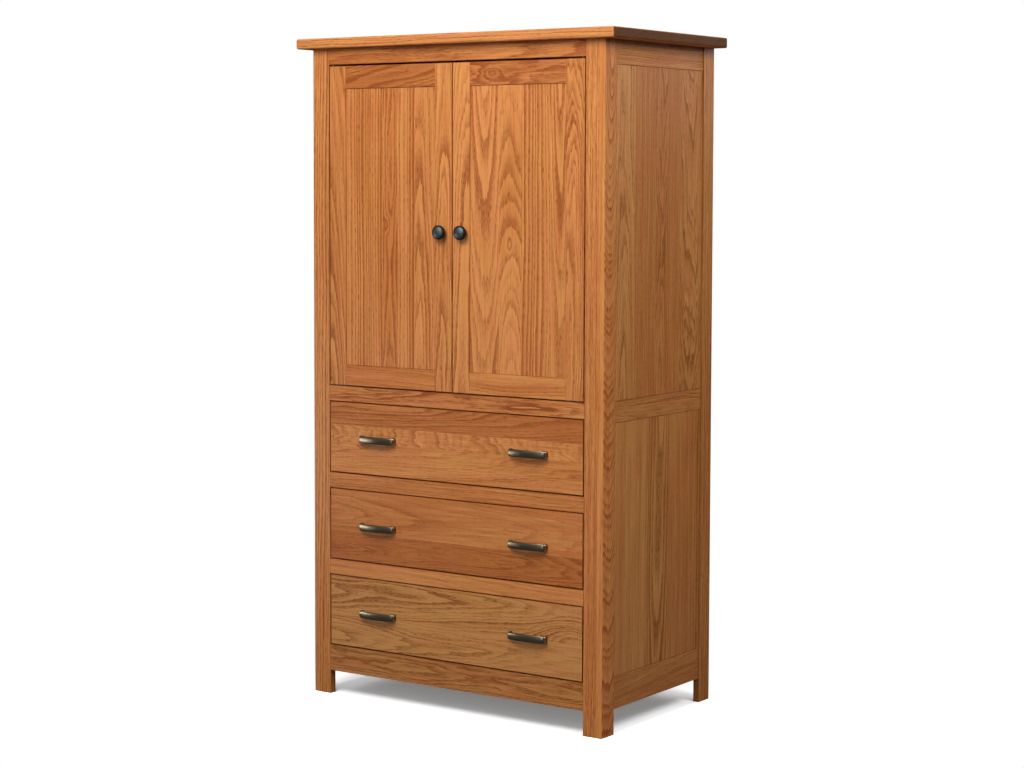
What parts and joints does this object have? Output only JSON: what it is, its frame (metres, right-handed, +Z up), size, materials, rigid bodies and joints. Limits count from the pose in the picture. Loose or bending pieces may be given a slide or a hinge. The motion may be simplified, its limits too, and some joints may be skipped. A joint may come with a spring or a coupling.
{
  "type": "computer armoire",
  "caption": "Tall oak computer armoire: two inset panelled doors on knife hinges above three inset drawers on full-extension slides, square post feet and an overhanging top.",
  "frame": {"origin": "on the floor, at the middle of the whole outline", "axes": "+Z up, front towards -Y, +X to the right of a person who looks at the front"},
  "size_m": [1.04, 0.584, 1.829],
  "materials": {
    "oak_frame": "satin lacquer over a warm stain",
    "oak_panel": "satin lacquer over a warm stain",
    "oak_front": "satin lacquer over a warm stain",
    "oak_top": "satin lacquer over a warm stain",
    "oak_inside": "satin lacquer",
    "drawer_maple": "clear satin lacquer",
    "plywood": "clear satin lacquer",
    "pewter": "dark brushed pewter",
    "zinc_steel": "zinc plated",
    "hinge_brass": "satin",
    "black_plastic": "matte"
  },
  "bodies": {
    "carcass": {"adjustable_shelf": "oak_inside", "back_left_post": "oak_frame", "back_panel": "plywood", "back_rails": "oak_inside", "back_right_post": "oak_frame", "cabinet_floor": "oak_inside", "cable_grommet": "black_plastic", "door_catches": "black_plastic", "front_bottom_rail": "oak_frame", "front_left_post": "oak_frame", "front_middle_rail": "oak_frame", "front_right_post": "oak_frame", "front_top_rail": "oak_frame", "hinge_case_leaves": "hinge_brass", "left_lower_panel": "oak_panel", "left_side_rails": "oak_frame", "left_upper_panel": "oak_panel", "lower_divider_rail": "oak_frame", "right_lower_panel": "oak_panel", "right_side_rails": "oak_frame", "right_upper_panel": "oak_panel", "shelf_pins": "zinc_steel", "slide_case_members": "zinc_steel", "slide_cleats": "drawer_maple", "top_board": "oak_top", "upper_divider_rail": "oak_frame"},
    "left_door": {"left_door_bottom_rail": "oak_frame", "left_door_hinge_leaves": "hinge_brass", "left_door_hinge_stile": "oak_frame", "left_door_knob": "pewter", "left_door_meeting_stile": "oak_frame", "left_door_panel": "oak_panel", "left_door_strike": "zinc_steel", "left_door_top_rail": "oak_frame"},
    "right_door": {"right_door_bottom_rail": "oak_frame", "right_door_hinge_leaves": "hinge_brass", "right_door_hinge_stile": "oak_frame", "right_door_knob": "pewter", "right_door_meeting_stile": "oak_frame", "right_door_panel": "oak_panel", "right_door_strike": "zinc_steel", "right_door_top_rail": "oak_frame"},
    "bottom_drawer": {"bottom_drawer_bottom": "plywood", "bottom_drawer_box": "drawer_maple", "bottom_drawer_front": "oak_front", "bottom_drawer_pulls": "pewter", "bottom_drawer_slide_members": "zinc_steel"},
    "bottom_slide_middle": {"bottom_slide_middle_members": "zinc_steel"},
    "middle_drawer": {"middle_drawer_bottom": "plywood", "middle_drawer_box": "drawer_maple", "middle_drawer_front": "oak_front", "middle_drawer_pulls": "pewter", "middle_drawer_slide_members": "zinc_steel"},
    "middle_slide_middle": {"middle_slide_middle_members": "zinc_steel"},
    "top_drawer": {"top_drawer_bottom": "plywood", "top_drawer_box": "drawer_maple", "top_drawer_front": "oak_front", "top_drawer_pulls": "pewter", "top_drawer_slide_members": "zinc_steel"},
    "top_slide_middle": {"top_slide_middle_members": "zinc_steel"}
  },
  "joints": [
    {"name": "left_door_hinge", "type": "hinge", "parent": "carcass", "child": "left_door", "pos_m": [-0.411, -0.261, 1.3], "axis": [0, 0, -1], "range_deg": [0, 110]},
    {"name": "right_door_hinge", "type": "hinge", "parent": "carcass", "child": "right_door", "pos_m": [0.411, -0.261, 1.3], "axis": [0, 0, 1], "range_deg": [0, 110]},
    {"name": "top_drawer_travel", "type": "slide", "parent": "carcass", "child": "top_drawer", "axis": [0, -1, 0], "range_m": [0, 0.45]},
    {"name": "top_slide_middle_travel", "type": "slide", "parent": "carcass", "child": "top_slide_middle", "axis": [0, -1, 0], "range_m": [0, 0.225]},
    {"name": "middle_drawer_travel", "type": "slide", "parent": "carcass", "child": "middle_drawer", "axis": [0, -1, 0], "range_m": [0, 0.45]},
    {"name": "middle_slide_middle_travel", "type": "slide", "parent": "carcass", "child": "middle_slide_middle", "axis": [0, -1, 0], "range_m": [0, 0.225]},
    {"name": "bottom_drawer_travel", "type": "slide", "parent": "carcass", "child": "bottom_drawer", "axis": [0, -1, 0], "range_m": [0, 0.45]},
    {"name": "bottom_slide_middle_travel", "type": "slide", "parent": "carcass", "child": "bottom_slide_middle", "axis": [0, -1, 0], "range_m": [0, 0.225]}
  ],
  "couplings": [
    {"joint": "top_slide_middle_travel", "follows": "top_drawer_travel", "ratio": 0.5},
    {"joint": "middle_slide_middle_travel", "follows": "middle_drawer_travel", "ratio": 0.5},
    {"joint": "bottom_slide_middle_travel", "follows": "bottom_drawer_travel", "ratio": 0.5}
  ]
}
